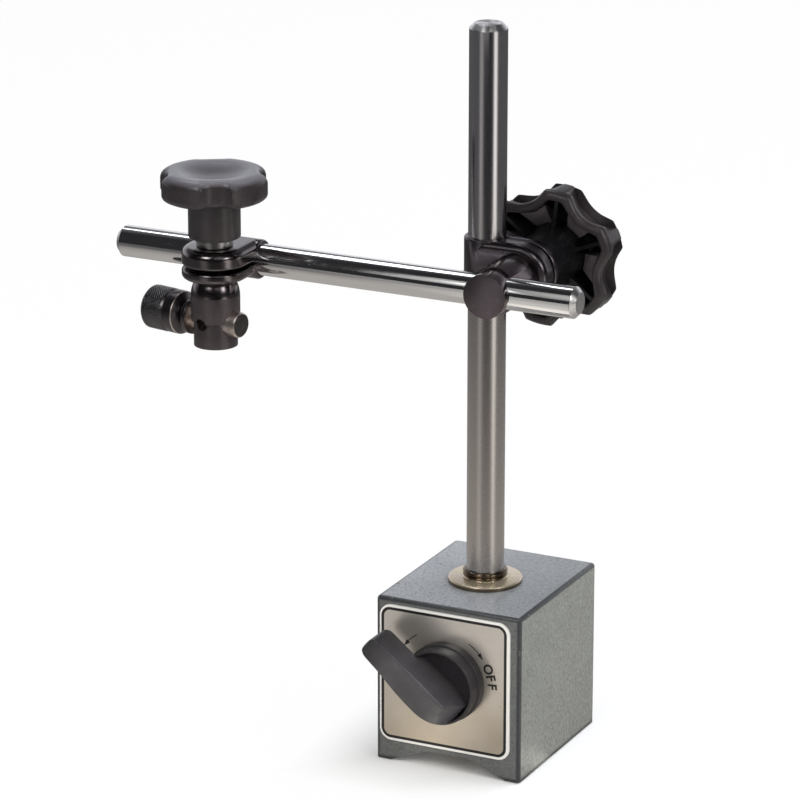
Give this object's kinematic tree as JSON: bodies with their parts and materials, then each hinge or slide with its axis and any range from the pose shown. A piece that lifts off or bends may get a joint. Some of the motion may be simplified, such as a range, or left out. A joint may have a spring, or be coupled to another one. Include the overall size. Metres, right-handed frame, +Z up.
{
  "type": "magnetic base stand",
  "caption": "Switchable magnetic block with an upright column, a clamped cross arm, hand knobs and a swivelling holder with a dovetail jaw for a dial indicator.",
  "frame": {"origin": "middle of the block's sole", "axes": "+Z up along the column, the switch faces -Y, the cross arm runs along X with the holder toward -X"},
  "size_m": [0.159, 0.0832, 0.2362],
  "materials": {
    "block_paint": "grey hammertone paint",
    "brass": "machined brass",
    "bright_steel": "turned steel",
    "plate_aluminium": "brushed, printed in black",
    "yellow_zinc": "yellow zinc plating",
    "black_plastic": "moulded black plastic",
    "magnet": "plain",
    "ground_steel": "satin, ground round",
    "polished_steel": "polished",
    "black_oxide": "black oxide"
  },
  "bodies": {
    "base": {"pole_left": "block_paint", "pole_right": "block_paint", "separator_top": "brass", "separator_sole": "brass", "front_bearing": "brass", "rear_plug": "block_paint", "stop_pin": "bright_steel", "nameplate": "plate_aluminium", "column_collar": "yellow_zinc"},
    "switch": {"switch_knob": "black_plastic", "rotor_shaft": "bright_steel", "rotor_magnet": "magnet", "rotor_segments": "magnet", "rotor_cap": "brass"},
    "column": {"column": "ground_steel"},
    "column_clamp": {"column_strap": "black_oxide", "star_washer": "black_oxide"},
    "eye": {"eye_bolt": "black_oxide", "clamp_sleeve": "black_oxide"},
    "star_knob": {"star_knob": "black_plastic", "star_insert": "brass"},
    "arm": {"cross_arm": "polished_steel"},
    "arm_clamp": {"arm_strap": "black_oxide", "arm_washer": "bright_steel"},
    "holder": {"holder_eye": "black_oxide", "holder_bush": "black_oxide"},
    "top_knob": {"top_knob": "black_plastic", "top_insert": "brass"},
    "adapter": {"adapter_rod": "black_oxide"},
    "thumb_nut": {"thumb_nut": "black_oxide"}
  },
  "joints": [
    {"name": "switch_turn", "type": "hinge", "parent": "base", "child": "switch", "pos_m": [0, -0.03, 0.0308], "axis": [0, 1, 0], "range_deg": [0, 125]},
    {"name": "column_turn", "type": "hinge", "parent": "base", "child": "column", "pos_m": [0, -0.0015, 0.06], "axis": [0, 0, 1], "continuous": true},
    {"name": "clamp_slide", "type": "slide", "parent": "column", "child": "column_clamp", "axis": [0, 0, 1], "range_m": [-0.079, 0.064]},
    {"name": "arm_tilt", "type": "hinge", "parent": "column_clamp", "child": "eye", "pos_m": [0.0128, -0.0245, 0.1585], "axis": [0, -1, 0], "range_deg": [-45, 45]},
    {"name": "star_knob_turn", "type": "hinge", "parent": "eye", "child": "star_knob", "pos_m": [0.0128, 0.01, 0.1585], "axis": [0, 1, 0], "continuous": true},
    {"name": "arm_slide", "type": "slide", "parent": "eye", "child": "arm", "axis": [1, 0, 0], "range_m": [-0.02, 0.01]},
    {"name": "arm_clamp_turn", "type": "hinge", "parent": "arm", "child": "arm_clamp", "pos_m": [-0.0772, -0.0245, 0.1585], "axis": [1, 0, 0], "continuous": true},
    {"name": "holder_turn", "type": "hinge", "parent": "arm_clamp", "child": "holder", "pos_m": [-0.0772, -0.0363, 0.1406], "axis": [0, 0, 1], "continuous": true},
    {"name": "top_knob_turn", "type": "hinge", "parent": "holder", "child": "top_knob", "pos_m": [-0.0772, -0.0363, 0.175], "axis": [0, 0, 1], "continuous": true},
    {"name": "adapter_turn", "type": "hinge", "parent": "holder", "child": "adapter", "pos_m": [-0.0772, -0.0363, 0.1406], "axis": [-0.9816, 0.1908, 0], "continuous": true},
    {"name": "thumb_nut_turn", "type": "hinge", "parent": "adapter", "child": "thumb_nut", "pos_m": [-0.0772, -0.0363, 0.1406], "axis": [-0.9816, 0.1908, 0], "continuous": true}
  ]
}
